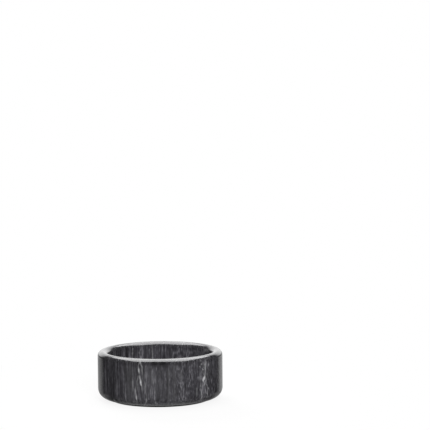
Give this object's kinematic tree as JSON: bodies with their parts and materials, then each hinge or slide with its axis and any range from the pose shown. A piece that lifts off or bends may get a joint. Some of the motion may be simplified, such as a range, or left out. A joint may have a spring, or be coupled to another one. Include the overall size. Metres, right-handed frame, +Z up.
{
  "type": "wine bottle coaster",
  "caption": "Round marble cup with a full-round rim and a coved well that a wine bottle stands in, on small stuck-on rubber feet.",
  "frame": {"origin": "on the table plane, on the cup's axis", "axes": "+Z up along the cup's axis, -Y towards the viewer of the picture, +X to the viewer's right"},
  "size_m": [0.096, 0.096, 0.0379],
  "materials": {
    "marble": "honed and lightly polished dark grey marble with pale vertical veins",
    "rubber": "matt black moulded rubber",
    "adhesive": "thin cream acrylic adhesive disc"
  },
  "bodies": {
    "root": {"marble_cup": "marble", "foot_front_right": "rubber", "foot_rear_right": "rubber", "foot_rear_left": "rubber", "foot_front_left": "rubber", "adhesive_front_right": "adhesive", "adhesive_rear_right": "adhesive", "adhesive_rear_left": "adhesive", "adhesive_front_left": "adhesive"}
  },
  "joints": []
}
